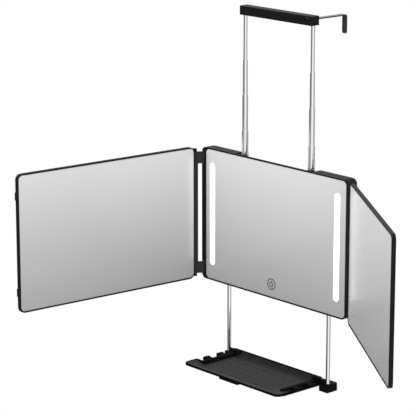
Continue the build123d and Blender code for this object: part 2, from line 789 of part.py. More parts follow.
with BuildPart() as hinge_link:
    toward_rail = (
        (link_pivot[0] - left_pivot[0]) / link_length,
        (link_pivot[1] - left_pivot[1]) / link_length,
    )
    with BuildSketch(pivot_level(left_pivot, toward_rail, -hinge_half)):
        Circle(link_knuckle)
        with Locations((link_spine / 2, 0)):
            Rectangle(link_spine, link_thickness)
    extrude(amount=2 * hinge_half)
    for end in (-1, 1):
        with BuildSketch(pivot_level(left_pivot, toward_rail, end * hinge_half)):
            with Locations((link_length / 2, 0)):
                Rectangle(link_length, link_thickness)
            with Locations((link_length, 0)):
                Circle(link_rail_knuckle)
        extrude(amount=-end * link_arm)
    with BuildSketch(pivot_level(left_pivot, toward_rail, -hinge_half)):
        with Locations((0, 0), (link_length, 0)):
            Circle(pin_radius + running)
    extrude(amount=2 * hinge_half, mode=Mode.SUBTRACT)
export(hinge_link, "hinge_link")

left_pins = (("rail_pin", link_pivot, rail_pin_half), ("left_hinge_pin", left_pivot, left_pin_half))
for name, pivot, half in left_pins:
    with BuildPart() as pin:
        with BuildSketch(level(-half)):
            with Locations(pivot):
                Circle(pin_radius)
        extrude(amount=2 * half)
    export(pin, name)

# ---------------------------------------------------------------- lower rods
with BuildPart() as rod_guides:
    with BuildSketch(level(-panel_top)):
        with Locations(rod_places):
            Circle(guide_radius)
            Circle(rod_diameter / 2 + rod_clearance, mode=Mode.SUBTRACT)
    extrude(amount=guide_length)
export(rod_guides, "rod_guides")

with BuildPart() as lower_rods:
    with BuildSketch(level(block_top - block_seat)):
        with Locations(rod_places):
            Circle(rod_diameter / 2)
            Circle(rod_diameter / 2 - rod_wall, mode=Mode.SUBTRACT)
    extrude(amount=rod_top - block_top + block_seat)
export(lower_rods, "lower_rods")

with BuildPart() as rod_stops:
    with BuildSketch(level(guide_length - panel_top + stop_gap)):
        with Locations(rod_places):
            Circle(guide_radius)
            Circle(rod_diameter / 2, mode=Mode.SUBTRACT)
    extrude(amount=stop_height)
export(rod_stops, "rod_stops")

with BuildPart() as rod_ends:
    with BuildSketch(level(block_top - block_size[2])):
        with Locations((-block_x, block_y), (block_x, block_y)):
            RectangleRounded(block_size[0], block_size[1], block_corner)
    extrude(amount=block_size[2])
    block_rims = rod_ends.faces().group_by(Axis.Z)[0].edges() + rod_ends.faces().group_by(Axis.Z)[-1].edges()
    chamfer(block_rims, block_edge)
    with BuildSketch(level(block_top - block_seat)):
        with Locations(rod_places):
            Circle(rod_diameter / 2)
    extrude(amount=block_seat, mode=Mode.SUBTRACT)
    with BuildSketch(level(block_top - block_size[2])):
        with Locations(rod_places):
            Circle(rod_diameter / 2 - rod_wall)
    extrude(amount=block_size[2], mode=Mode.SUBTRACT)
    with BuildSketch(level(block_top - block_size[2])):
        with Locations(rod_places):
            Circle(screw_head + glass_gap)
    extrude(amount=bottom_head, mode=Mode.SUBTRACT)
    # bores of the tray's pins, in the faces towards the tray
    with BuildSketch(side_on(0)):
        with Locations(tray_pivot):
            Circle(tray_pin_radius + running)
    extrude(amount=block_inner + tray_pin_seat + stop_gap, both=True, mode=Mode.SUBTRACT)
export(rod_ends, "rod_ends")

with BuildPart() as rod_screws:
    with BuildSketch(level(block_top - block_size[2])):
        with Locations(rod_places):
            Circle(screw_head)
    extrude(amount=bottom_head)
    with BuildSketch(level(block_top - block_size[2] + bottom_head)):
        with Locations(rod_places):
            Circle(rod_diameter / 2 - rod_wall)
    extrude(amount=block_size[2])
export(rod_screws, "rod_screws")

# ---------------------------------------------------------------- tray
# drain holes spread forward from the back in a fan, with a middle column
drains = [(side * (drain_spread + row * drain_step[0]), tray_back - drain_back - row * drain_step[1])
          for side in (-1, 1) for row in range(3)]
drains += [(0, tray_back - drain_back - row * drain_step[1]) for row in range(1, 5)]
grooves = [(0, tray_front + groove_first + row * groove_pitch) for row in range(groove_rows)]
rim_front = tray_back - rim_thickness

with BuildPart() as basin:
    with BuildSketch(facing(tray_front)):
        with BuildLine():
            Polyline(
                (-mouth_half - side_skin, flange_foot),
                (-floor_half, tray_bottom),
                (floor_half, tray_bottom),
                (mouth_half + side_skin, flange_foot),
                close=True,
            )
        make_face()
    extrude(amount=tray_front - tray_back)
    with BuildSketch(side_on(0)):
        with BuildLine():
            Polyline(
                (tray_front, flange_foot),
                (ramp_foot, tray_bottom),
                (tray_back, tray_bottom),
                (tray_back, flange_foot),
                close=True,
            )
        make_face()
    extrude(amount=shelf_root, both=True, mode=Mode.INTERSECT)

with BuildPart() as well:
    with BuildSketch(facing(tray_front + lip_width)):
        with BuildLine():
            Polyline(
                (-mouth_half, flange_top),
                (-floor_half, tray_floor),
                (floor_half, tray_floor),
                (mouth_half, flange_top),
                close=True,
            )
        make_face()
    extrude(amount=tray_front + lip_width - rim_front)
    with BuildSketch(side_on(0)):
        with BuildLine():
            Polyline(
                (tray_front + lip_width, flange_top),
                (ramp_foot, tray_floor),
                (rim_front, tray_floor),
                (rim_front, flange_top),
                close=True,
            )
        make_face()
    extrude(amount=shelf_root, both=True, mode=Mode.INTERSECT)

with BuildPart() as tray:
    # flange: whole at the front, with T-shaped teeth along the sides, whose gaps hold combs and cords
    with BuildSketch(level(flange_foot)) as flange:
        with Locations((0, (tray_front + tray_back) / 2)):
            Rectangle(2 * shelf_root, tray_back - tray_front)
        with Locations((0, tray_front + apron_length / 2)):
            Rectangle(2 * apron_half, apron_length)
        fillet(flange.vertices().group_by(Axis.Y)[0], tray_corner)
        for tooth in tooth_places:
            with Locations((0, tray_back - tooth)):
                Rectangle(2 * tooth_reach, tooth_neck)
            with Locations([(side * (tooth_reach - tooth_tip / 2), tray_back - tooth) for side in (-1, 1)]):
                Rectangle(tooth_tip, tooth_head)
        tips = flange.vertices().filter_by(lambda corner: abs(abs(corner.X) - tooth_reach) < glass_gap)
        fillet(tips, tooth_corner)
    extrude(amount=flange_thickness)
    add(basin.part)
    add(well.part, mode=Mode.SUBTRACT)
    # rim along the back, with a raised block and a pivot lug at each end
    with BuildSketch(level(tray_bottom)):
        with Locations((0, tray_back - rim_thickness / 2)):
            Rectangle(2 * ear_outside, rim_thickness)
        for side in (-1, 1):
            with Locations((side * (ear_outside - ear_length / 2), tray_back - ear_depth / 2)):
                Rectangle(ear_length, ear_depth)
    extrude(amount=tray_thickness + rim_rise)
    for side in (-1, 1):
        with BuildSketch(side_on(side * lug_inside)):
            with Locations(tray_pivot):
                Circle(lug_radius)
        extrude(amount=side * tray_pin_grip)
        with BuildSketch(side_on(side * lug_inside)):
            with Locations(tray_pivot):
                Circle(tray_pin_radius)
        extrude(amount=side * tray_pin_grip, mode=Mode.SUBTRACT)
    # grooves and drain holes in the floor, tab under the front edge
    with BuildSketch(level(tray_floor)):
        with Locations(grooves):
            Rectangle(groove_length, groove_width)
    extrude(amount=-groove_depth, mode=Mode.SUBTRACT)
    with BuildSketch(level(tray_floor)):
        with Locations(drains):
            Circle(drain_radius)
    extrude(amount=-tray_thickness, mode=Mode.SUBTRACT)
    with BuildSketch(level(flange_foot)):
        with Locations((tab_x, tray_front + tab_set + tab_depth / 2)):
            RectangleRounded(tab_width, tab_depth, tab_corner)
    extrude(amount=-tab_drop)
export(tray, "tray")

with BuildPart() as tray_pins:
    for side in (-1, 1):
        with BuildSketch(side_on(side * lug_inside)):
            with Locations(tray_pivot):
                Circle(tray_pin_radius)
        extrude(amount=side * (block_inner + tray_pin_seat - lug_inside))
export(tray_pins, "tray_pins")
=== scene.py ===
"""Finishes, touch mark, tray, rod-end blocks, lights, floor and camera of the trifold vanity mirror."""
from math import cos, pi, radians, sin

import bmesh
import bpy
from mathutils import Matrix, Vector


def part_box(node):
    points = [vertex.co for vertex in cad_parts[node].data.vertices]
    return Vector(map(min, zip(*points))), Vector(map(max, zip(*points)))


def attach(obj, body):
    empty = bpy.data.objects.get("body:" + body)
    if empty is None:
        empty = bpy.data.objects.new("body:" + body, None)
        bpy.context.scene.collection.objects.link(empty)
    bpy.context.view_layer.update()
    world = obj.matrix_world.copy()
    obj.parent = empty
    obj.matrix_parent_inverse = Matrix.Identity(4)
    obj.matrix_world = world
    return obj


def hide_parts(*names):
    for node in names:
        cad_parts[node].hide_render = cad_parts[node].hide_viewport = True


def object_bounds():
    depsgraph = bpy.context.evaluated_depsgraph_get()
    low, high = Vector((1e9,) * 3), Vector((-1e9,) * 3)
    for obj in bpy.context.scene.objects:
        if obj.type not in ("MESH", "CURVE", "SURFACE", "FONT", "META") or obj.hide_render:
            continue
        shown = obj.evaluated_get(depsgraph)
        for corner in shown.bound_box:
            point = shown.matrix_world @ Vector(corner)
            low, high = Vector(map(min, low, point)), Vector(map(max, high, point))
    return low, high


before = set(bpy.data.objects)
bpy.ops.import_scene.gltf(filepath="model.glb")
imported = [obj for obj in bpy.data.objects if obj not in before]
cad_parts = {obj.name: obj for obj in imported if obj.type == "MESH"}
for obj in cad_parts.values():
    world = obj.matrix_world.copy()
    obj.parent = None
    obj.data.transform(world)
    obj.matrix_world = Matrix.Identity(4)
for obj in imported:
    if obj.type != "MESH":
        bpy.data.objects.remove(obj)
cad_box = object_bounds()

MM = 0.001

# ---------------------------------------------------------------- places taken from the model's parts
glass_low, glass_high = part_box("middle_glass")
pad_low, pad_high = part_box("touch_pad")
pad_middle = (pad_low + pad_high) / 2
model_low, model_high = cad_box
model_middle = (model_low + model_high) / 2

# ---------------------------------------------------------------- camera
camera_azimuth = 48.32         # degrees to the right of straight in front
camera_elevation = 13.82       # degrees above level
camera_distance = 3.431        # m
camera_aim = Vector((-0.2308, -0.0525, -0.3399))
camera_lens = 178.96           # mm
sensor_width = 36              # mm


def make_camera():
    """Camera at the right of the mirror and a little above it, looking past its middle."""
    data = bpy.data.cameras.new("camera")
    data.lens = camera_lens
    data.sensor_width = sensor_width
    camera = bpy.data.objects.new("camera", data)
    bpy.context.scene.collection.objects.link(camera)
    turn, rise = radians(camera_azimuth), radians(camera_elevation)
    toward = Vector((sin(turn) * cos(rise), -cos(turn) * cos(rise), sin(rise)))
    camera.location = camera_aim + camera_distance * toward
    camera.rotation_euler = (-toward).to_track_quat("-Z", "Y").to_euler()
    bpy.context.scene.camera = camera


# ---------------------------------------------------------------- material helpers
def linear(colour):
    """Linear RGBA of an sRGB hex colour."""
    channels = [int(colour[i:i + 2], 16) / 255 for i in (1, 3, 5)]
    return [c / 12.92 if c <= 0.04045 else ((c + 0.055) / 1.055) ** 2.4 for c in channels] + [1.0]


def add_node(tree, kind, inputs=None, **settings):
    """Add one node with its settings. An input is a value, or the output of an earlier node."""
    node = tree.nodes.new("ShaderNode" + kind)
    for name, value in settings.items():
        setattr(node, name, value)
    for socket, value in (inputs or {}).items():
        if isinstance(value, bpy.types.NodeSocket):
            tree.links.new(value, node.inputs[socket])
        else:
            node.inputs[socket].default_value = value
    return node


def new_material(name):
    """A new material, its node tree, its surface shader and its Object coordinates."""
    material = bpy.data.materials.new(name)
    material.use_nodes = True
    tree = material.node_tree
    tree.nodes.clear()
    shader = add_node(tree, "BsdfPrincipled")
    output = add_node(tree, "OutputMaterial")
    tree.links.new(shader.outputs[0], output.inputs["Surface"])
    place = add_node(tree, "TexCoord").outputs["Object"]
    return material, tree, shader, place


# ---------------------------------------------------------------- finishes, with their patterns in mm
tint_size = 40                 # slow drift of colour over a moulded or coated surface
gloss_spread = 0.05            # either side of that surface's roughness
grain_strength = 0.35
haze_size = 60                 # slow change of gloss over a mirror
haze_gloss = (0.2, 0.26)
glass_metallic = 0.2
glass_specular = 0.3
streak_width = 1.2             # across a drawn tube
streak_gloss = (0.7, 1.3)      # shares of the metal's roughness
guide_cloud = 8                # unevenness of a lit guide
guide_glow = 1.2
guide_roughness = 0.25


def satin_surface(name, colour, fleck, roughness, grain, depth, specular=0.5):
    """Moulded, coated or printed surface: satin, with a fine even grain, drawn coarser than the real one."""
    material, tree, shader, place = new_material(name)
    grit = add_node(tree, "TexNoise", {"Vector": place, "Scale": 1 / (grain * MM), "Detail": 3.0})
    cloud = add_node(tree, "TexNoise", {"Vector": place, "Scale": 1 / (tint_size * MM), "Detail": 2.0})
    tint = add_node(tree, "ValToRGB", {"Fac": cloud.outputs["Fac"]})
    tint.color_ramp.elements[0].color = linear(colour)
    tint.color_ramp.elements[1].color = linear(fleck)
    low_gloss, high_gloss = roughness - gloss_spread, roughness + gloss_spread
    gloss = add_node(tree, "MapRange", {
        "Value": grit.outputs["Fac"], "To Min": low_gloss, "To Max": high_gloss})
    bump = add_node(tree, "Bump", {
        "Height": grit.outputs["Fac"], "Strength": grain_strength, "Distance": depth * MM})
    tree.links.new(tint.outputs["Color"], shader.inputs["Base Color"])
    tree.links.new(gloss.outputs["Result"], shader.inputs["Roughness"])
    tree.links.new(bump.outputs["Normal"], shader.inputs["Normal"])
    shader.inputs["Specular IOR Level"].default_value = specular
    return material


def silvered_glass_painted_reflection(name, foot_tone, top_tone):
    """Float glass silvered behind, with a painted reflection: its colour is painted lighter at its top edge
    and darker at its foot, for the room it mirrors.
    """
    material, tree, shader, place = new_material(name)
    height = add_node(tree, "SeparateXYZ", {"Vector": place}).outputs["Z"]
    share = add_node(tree, "MapRange", {
        "Value": height, "From Min": glass_low.z, "From Max": glass_high.z})
    # painted reflection: the base colour runs from the foot tone at the glass's foot to the top tone at its
    # top
    tone = add_node(tree, "ValToRGB", {"Fac": share.outputs["Result"]})
    tone.color_ramp.elements[0].color = linear(foot_tone)
    tone.color_ramp.elements[1].color = linear(top_tone)
    haze = add_node(tree, "TexNoise", {"Vector": place, "Scale": 1 / (haze_size * MM), "Detail": 4.0})
    gloss = add_node(tree, "MapRange", {
        "Value": haze.outputs["Fac"], "To Min": haze_gloss[0], "To Max": haze_gloss[1]})
    tree.links.new(tone.outputs["Color"], shader.inputs["Base Color"])
    tree.links.new(gloss.outputs["Result"], shader.inputs["Roughness"])
    shader.inputs["Metallic"].default_value = glass_metallic
    shader.inputs["Specular IOR Level"].default_value = glass_specular
    return material


def metal(name, colour, shade, roughness, streak):
    """Plated metal: faint streaks, stretched along Z by the streak's scale, vary its gloss."""
    material, tree, shader, place = new_material(name)
    drawn = add_node(tree, "Mapping", {"Vector": place, "Scale": streak}).outputs["Vector"]
    lines = add_node(tree, "TexNoise", {"Vector": drawn, "Scale": 1 / (streak_width * MM), "Detail": 2.0})
    tint = add_node(tree, "ValToRGB", {"Fac": lines.outputs["Fac"]})
    tint.color_ramp.elements[0].color = linear(shade)
    tint.color_ramp.elements[1].color = linear(colour)
    low_gloss, high_gloss = (roughness * share for share in streak_gloss)
    gloss = add_node(tree, "MapRange", {
        "Value": lines.outputs["Fac"], "To Min": low_gloss, "To Max": high_gloss})
    tree.links.new(tint.outputs["Color"], shader.inputs["Base Color"])
    tree.links.new(gloss.outputs["Result"], shader.inputs["Roughness"])
    shader.inputs["Metallic"].default_value = 1.0
    return material


def opal_acrylic():
    """Opal acrylic light guide, lit from behind: an even white glow."""
    material, tree, shader, place = new_material("opal_acrylic")
    cloud = add_node(tree, "TexNoise", {"Vector": place, "Scale": 1 / (guide_cloud * MM), "Detail": 1.0})
    tint = add_node(tree, "ValToRGB", {"Fac": cloud.outputs["Fac"]})
    tint.color_ramp.elements[0].color = linear("#F4F4F2")
    tint.color_ramp.elements[1].color = linear("#FFFFFF")
    tree.links.new(tint.outputs["Color"], shader.inputs["Base Color"])
    tree.links.new(tint.outputs["Color"], shader.inputs["Emission Color"])
    shader.inputs["Emission Strength"].default_value = guide_glow
    shader.inputs["Roughness"].default_value = guide_roughness
    return material


def make_materials():
    """Every finish of the model's own nodes, and the names of the nodes that have it."""
    # ABS from a spark-eroded mould: near black and satin, with little shine
    frames = satin_surface("moulded_black_abs", "#111112", "#161617",
                           roughness=0.5, grain=0.45, depth=0.03, specular=0.12)
    # the same ABS with a coarser grain, for the backs
    covers = satin_surface("grained_black_abs", "#111112", "#171718",
                           roughness=0.55, grain=0.7, depth=0.06, specular=0.15)
    # moulded nylon: a shade greyer than the ABS
    link = satin_surface("black_nylon", "#272728", "#2D2D2E",
                         roughness=0.5, grain=0.5, depth=0.03, specular=0.2)
    # unpigmented moulded nylon: warm off-white
    bush = satin_surface("natural_nylon", "#D9D7CF", "#E2E0D8", roughness=0.5, grain=0.5, depth=0.02)
    # lacquered circuit board: dark green and smooth
    board = satin_surface("solder_mask", "#0F3B24", "#134A2D", roughness=0.35, grain=1.5, depth=0.02)
    # shrunk PVC film: blue and fairly shiny
    wrap = satin_surface("battery_shrink_wrap", "#2B4C86", "#31559A", roughness=0.3, grain=3.0, depth=0.02)
    # baked powder coat on steel strip: dark grey, with a broad shine along its bends
    strap = satin_surface("powder_coated_steel", "#242426", "#29292B",
                          roughness=0.26, grain=0.4, depth=0.01, specular=0.9)
    # the three mirrors face different parts of the room and get different light, so each has its own painted
    # reflection, a little different
    middle_mirror = silvered_glass_painted_reflection("silvered_float_glass", "#BBBBBC", "#ECECEC")
    right_mirror = silvered_glass_painted_reflection("silvered_float_glass_right", "#C6C6C7", "#E1E1E1")
    left_mirror = silvered_glass_painted_reflection("silvered_float_glass_left", "#B5B5B6", "#E9E9E9")
    # polished and chromed drawn tube: it mirrors the room sharply
    chrome = metal("chromed_steel_tube", "#FAFAFB", "#F2F2F4", 0.05, (1, 1, 0.02))
    # zinc plate on turned pins and screws: a duller grey
    pins = metal("zinc_plated_steel", "#B9BABC", "#A9AAAC", 0.3, (1, 1, 0.1))
    return {
        frames: ("front_frame", "right_frame", "left_frame", "top_bar", "closing_clips"),
        covers: ("rear_housing", "right_back", "left_back"),
        link: ("hinge_link",),
        bush: ("rod_guides", "rod_stops"),
        board: ("control_board", "light_board_left", "light_board_right", "touch_pad"),
        wrap: ("battery",),
        middle_mirror: ("middle_glass",),
        right_mirror: ("right_glass",),
        left_mirror: ("left_glass",),
        opal_acrylic(): ("light_diffuser_left", "light_diffuser_right"),
        chrome: ("pole_section_1", "pole_section_2", "pole_section_3", "pole_section_4",
                 "pole_sockets", "lower_rods"),
        strap: ("door_hook",),
        pins: ("hook_pin", "right_hinge_pin", "left_hinge_pin", "rail_pin", "tray_pins", "housing_screws",
               "rod_screws", "charging_socket"),
    }


def finish_nodes():
    """Give each of the model's nodes its finish."""
    for material, names in make_materials().items():
        for name in names:
            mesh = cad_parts[name].data
            mesh.materials.clear()
            mesh.materials.append(material)


# ---------------------------------------------------------------- mesh helpers
weld_gap = 1e-7                # m, vertices closer than this are one
true_gap = 1e-6                # m, how true an upright or a level edge is
match_gap = 1e-5               # m, how near an edge is to the place it is looked for at
corner_segments = 5
rim_segments = 3
drill_segments = 24
cross_turn = Matrix.Rotation(pi / 2, 3, "Y")      # from upright to lying from side to side


def new_piece(name, mesh, material, body):
    """Turn a finished bmesh into a piece that rides on a body."""
    bmesh.ops.remove_doubles(mesh, verts=mesh.verts, dist=weld_gap)
    bmesh.ops.recalc_face_normals(mesh, faces=mesh.faces)
    data = bpy.data.meshes.new(name)
    mesh.to_mesh(data)
    mesh.free()
    data.materials.append(material)
    piece = bpy.data.objects.new(name, data)
    bpy.context.scene.collection.objects.link(piece)
    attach(piece, body)
    return piece


def is_upright(edge):
    """Whether an edge stands straight up."""
    first, second = edge.verts
    return (first.co - second.co).xy.length < true_gap


def is_level(edge):
    """Whether an edge lies level."""
    first, second = edge.verts
    return abs(first.co.z - second.co.z) < true_gap


def bevel(mesh, edges, size, segments):
    """Round edges by a size in mm."""
    return bmesh.ops.bevel(mesh, geom=edges, offset=size * MM, affect="EDGES", segments=segments,
                           profile=0.5, material=-1)["verts"]


def add_box(mesh, middle, size):
    """A box about a place, with its size in mm."""
    box = bmesh.ops.create_cube(mesh, size=1)["verts"]
    bmesh.ops.scale(mesh, verts=box, vec=[length * MM for length in size])
    bmesh.ops.translate(mesh, verts=box, vec=middle)
    return box


def uprights_of(mesh, box):
    """The upright edges of a box."""
    return [edge for edge in mesh.edges if all(vert in box for vert in edge.verts) and is_upright(edge)]


def add_rounded_box(mesh, middle, size, corner, edge_size):
    """A box with round upright corners and softened rims, in mm."""
    box = add_box(mesh, middle, size)
    rounded = bevel(mesh, uprights_of(mesh, box), corner, corner_segments)
    rims = [edge for edge in mesh.edges if any(vert in rounded for vert in edge.verts) and is_level(edge)]
    bevel(mesh, rims, edge_size, rim_segments)


def add_cylinder(mesh, place, radius, length, segments, across):
    """A cylinder about a place, in mm: upright, or across from side to side."""
    cylinder = bmesh.ops.create_cone(mesh, cap_ends=True, segments=segments, radius1=radius * MM,
                                     radius2=radius * MM, depth=length * MM)["verts"]
    if across:
        bmesh.ops.rotate(mesh, verts=cylinder, cent=(0, 0, 0), matrix=cross_turn)
    bmesh.ops.translate(mesh, verts=cylinder, vec=place)


def drill_holes(piece, places, radius, length, across=False):
    """Cut round holes in a piece, each centred on its place: upright, or across from side to side."""
    mesh = bmesh.new()
    for place in places:
        add_cylinder(mesh, place, radius, length, drill_segments, across)
    drill_mesh = bpy.data.meshes.new("drills")
    mesh.to_mesh(drill_mesh)
    mesh.free()
    drills = bpy.data.objects.new("drills", drill_mesh)
    bpy.context.scene.collection.objects.link(drills)
    cut = piece.modifiers.new("holes", "BOOLEAN")
    cut.object = drills
    cut.solver = "EXACT"
    cut.use_self = True
    bpy.context.view_layer.update()
    drilled = bpy.data.meshes.new_from_object(piece.evaluated_get(bpy.context.evaluated_depsgraph_get()))
    piece.modifiers.remove(cut)
    piece.data = drilled
    bpy.data.objects.remove(drills)


# ---------------------------------------------------------------- printed touch mark, in mm
mark_rise = 0.12               # ink above the glass
mark_line = 1.5
ring_radius = 8.8
symbol_radius = 3.9
symbol_gap = 35                # degrees open at the top of the power symbol, each side
symbol_bar = 4.8
symbol_foot = 0.9              # the symbol's bar starts this far above its middle
ring_steps, symbol_steps = 64, 40
mark_middle = Vector((pad_middle.x, glass_low.y - mark_rise * MM / 2, pad_middle.z))


def add_arc(mesh, radius, start, turn, steps):
    """Flat bar bent round the mark's middle: its cross-section is spun from start, in radians."""
    section = bmesh.ops.create_grid(mesh, x_segments=1, y_segments=1, size=0.5)["verts"]
    bmesh.ops.scale(mesh, verts=section, vec=(mark_line * MM, mark_rise * MM, 1))
    bmesh.ops.translate(mesh, verts=section, vec=(radius * MM, 0, 0))
    bmesh.ops.rotate(mesh, verts=section, cent=(0, 0, 0), matrix=Matrix.Rotation(-start, 3, "Y"))
    bmesh.ops.translate(mesh, verts=section, vec=mark_middle)
    face = section[0].link_faces[0]
    outline = [*face.edges, *section]
    whole = turn == 2 * pi
    if whole:                  # a ring has no ends, so only the section's outline is spun
        bmesh.ops.delete(mesh, geom=[face], context="FACES_ONLY")
    else:
        outline.append(face)
    bmesh.ops.spin(mesh, geom=outline, cent=mark_middle, axis=(0, -1, 0), angle=turn, steps=steps,
                   use_merge=whole, use_duplicate=False)


def make_touch_mark():
    """Ring and power symbol printed on the glass over the touch pad."""
    ink = satin_surface("screen_printed_ink", "#2A2A2B", "#303031", roughness=0.45, grain=0.3, depth=0.01)
    ring = bmesh.new()
    add_arc(ring, ring_radius, 0, 2 * pi, ring_steps)
    new_piece("touch_ring", ring, ink, "panel")
    symbol = bmesh.new()
    add_arc(symbol, symbol_radius, radians(90 + symbol_gap), radians(360 - 2 * symbol_gap), symbol_steps)
    bar_middle = mark_middle + Vector((0, 0, (symbol_foot + symbol_bar / 2) * MM))
    add_box(symbol, bar_middle, (mark_line, mark_rise, symbol_bar))
    new_piece("power_symbol", symbol, ink, "panel")


# ---------------------------------------------------------------- tray, in mm
# Halves are measured sideways from the tray's middle, depths forwards from its back, rises from its floor.
tray_low, tray_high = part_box("tray")
tray_middle = (tray_low.x + tray_high.x) / 2
floor_half, wall_half = 89.5, 92.5           # the side walls slope between these
shell_half, shell_depth = 98.3, 108.3
front_ramp, front_lip = 90.0, 106.8          # the floor slopes up to the front between these
rim_depth, cove_depth = 2.4, 12.0            # thickness of the back wall, and where its coved foot ends
cove_lines = (3.2, 4.6, 6.6, 9.2)
rim_rise, flange_rise = 8.2, 4.6
ear_half, ear_inner, ear_depth = 101.8, 85.5, 8.0
draft = 0.6
wall_end = 82.5                              # the side walls end here, and the aprons slope instead
apron_start, apron_half = 78.5, 112.3
apron_slope = 84.0                           # the floor starts to rise towards the apron's side here
apron_corner = 9.0
neck_half, head_half = 108.0, 111.8
neck_width, head_width = 8.5, 13.5
tooth_places = (29.8, 59.6)
tooth_corner = 1.3
floor_wall, flange_wall, head_wall = 3.5, 4.0, 5.0   # thicknesses
rail_half, rail_drop = 93.0, 7.0             # a rail under each side wall reaches as low as the pivot's lugs
groove_start, groove_pitch, groove_count = 31.1, 9.4, 7
groove_half, groove_end, groove_width, groove_cut = 75.0, 1.0, 1.6, 0.7
groove_places = [groove_start + groove_pitch * row for row in range(groove_count)]
drain_radius, drain_length = 1.3, 14.0       # the drill is longer than the floor is thick
drain_half, drain_spread = 31.7, 16.2        # the outer lines of drains spread towards the front
drain_start, drain_pitch = 10.0, 19.2
drain_lines = ((-1, 0, 3), (1, 0, 3), (0, 1, 4))     # side, first row and rows of each line
lug_radius, lug_length, lug_inset = 4.5, 7.0, 0.2
pivot_depth, pivot_below = 1.7, 10.7         # the tray's pivot, below the rim's top
tab_middle = (-5.5, 102.4, 9.1)              # of the finger tab: across, depth, and below the rim's top
tab_size, tab_corner = (45.0, 8.0, 5.0), 2.0
tooth_segments, tab_segments, lug_segments = 6, 4, 32
flat_angle = radians(1)


def tray_plan():
    """Rectangles that make up the tray seen from above: half from and to, depth from and to."""
    plan = [
        (0, shell_half, 0, shell_depth),
        (shell_half, ear_half, 0, ear_depth),
        (shell_half, apron_half, apron_start, shell_depth),
    ]
    for place in tooth_places:
        plan.append((shell_half, neck_half, place - neck_width / 2, place + neck_width / 2))
        plan.append((neck_half, head_half, place - head_width / 2, place + head_width / 2))
    return plan


def share_of(value, start, end):
    """How far a value is from start to end, from 0 to 1."""
    return min(max((value - start) / (end - start), 0), 1)


def rise_of_top(half, depth):
    """Height of the tray's upper side above its floor."""
    if half <= ear_half and (depth <= rim_depth or (half >= ear_inner and depth <= ear_depth)):
        return rim_rise
    foot, crest = (apron_slope, apron_half) if depth >= wall_end else (floor_half, wall_half)
    side = share_of(half, foot, crest)
    front = share_of(depth, front_ramp, front_lip)
    back = 0 if half > wall_half else max((cove_depth - depth) / (cove_depth - rim_depth), 0) ** 2
    on_line = any(abs(depth - place) < 0.01 for place in groove_places)
    in_groove = on_line and half <= groove_half - groove_end
    return max(flange_rise * side, flange_rise * front, rim_rise * back) - (groove_cut if in_groove else 0)


def rise_of_underside(half, depth):
    """Height of the tray's underside above its floor: it follows the shell, with rails and thicker heads."""
    if rail_half <= half <= shell_half and depth < wall_end:
        return -rail_drop
    if depth <= ear_depth:
        return -floor_wall
    if half >= neck_half and depth < apron_start:
        return flange_rise - head_wall
    side = 1 if half > rail_half else 0
    front = share_of(depth, front_ramp, shell_depth)
    return -floor_wall + (flange_rise - flange_wall + floor_wall) * max(side, front)


def tray_place(across, depth, rise):
    """Place in the frame of a place on the tray."""
    height = tray_high.z + (rise - rim_rise) * MM
    return Vector((tray_middle + across * MM, tray_high.y - depth * MM, height))


def round_apron(across, depth):
    """A place seen from above, drawn in where the apron's front corner is round."""
    out = (abs(across) - apron_half + apron_corner) / apron_corner
    ahead = (depth - shell_depth + apron_corner) / apron_corner
    if min(out, ahead) <= 0:
        return across, depth
    side = 1 if across > 0 else -1
    across = side * (apron_half - apron_corner + apron_corner * out * (1 - ahead ** 2 / 2) ** 0.5)
    return across, shell_depth - apron_corner + apron_corner * ahead * (1 - out ** 2 / 2) ** 0.5


def tray_lines():
    """Where the grid's lines run: from side to side, and from the back to the front."""
    plan = tray_plan()
    corner_steps = [apron_corner * step / corner_segments for step in range(1, corner_segments + 1)]
    halves = {edge for part in plan for edge in part[:2]}
    halves |= {floor_half, wall_half, ear_inner, ear_inner - draft, groove_half, groove_half - groove_end}
    halves |= {apron_slope, rail_half, rail_half - draft, shell_half + draft}
    halves |= {apron_half - step for step in corner_steps}
    depths = {edge for part in plan for edge in part[2:]}
    depths |= {front_lip, front_ramp, rim_depth, cove_depth, ear_depth + draft, wall_end, wall_end - draft}
    depths |= {*cove_lines}
    depths |= {place + step * groove_width / 2 for place in groove_places for step in (-1, 0, 1)}
    depths |= {shell_depth - step for step in corner_steps}
    return sorted(halves | {-half for half in halves}), sorted(depths)


def tray_sheet():
    """One grid with a line at each edge of the tray, the gaps between its teeth cut out, made solid.

    Its upper side has the second finish.
    """
    plan = tray_plan()
    columns, rows = tray_lines()
    last_column, last_row = len(columns) - 1, len(rows) - 1
    mesh = bmesh.new()
    bmesh.ops.create_grid(mesh, x_segments=last_column, y_segments=last_row, size=0.5)
    for vert in mesh.verts:
        column = round((vert.co.x + 0.5) * last_column)
        row = round((vert.co.y + 0.5) * last_row)
        vert.co = (columns[column], rows[row], 0)
    gaps = []
    for face in mesh.faces:
        middle = face.calc_center_median()
        if not any(a < abs(middle.x) < b and c < middle.y < d for a, b, c, d in plan):
            gaps.append(face)
    bmesh.ops.delete(mesh, geom=gaps, context="FACES")
    bmesh.ops.solidify(mesh, geom=mesh.faces[:], thickness=1)
    for face in mesh.faces:
        face.material_index = 1 if face.normal.z > 0.5 else 0
    top_level = max(vert.co.z for vert in mesh.verts)
    for vert in mesh.verts:
        across, depth, level = vert.co
        half = round(abs(across), 3)
        rise_of = rise_of_top if abs(level - top_level) < 0.001 else rise_of_underside
        vert.co = tray_place(*round_apron(across, depth), rise_of(half, depth))
    mesh.normal_update()
    return mesh


def grain_well(mesh):
    """Leave the second, grained finish on the well's floor and on the aprons only; the other faces keep the
    first finish, with its painted shade.
    """
    for face in mesh.faces:
        middle = face.calc_center_median()
        half = abs(middle.x - tray_middle) / MM
        depth = (tray_high.y - middle.y) / MM
        on_ear = half > ear_inner - draft and depth < ear_depth
        on_well = half < floor_half and depth > cove_lines[0] and not on_ear
        on_apron = wall_end < depth < front_lip and half < apron_half - tooth_corner
        if not (on_well or on_apron):
            face.material_index = 0


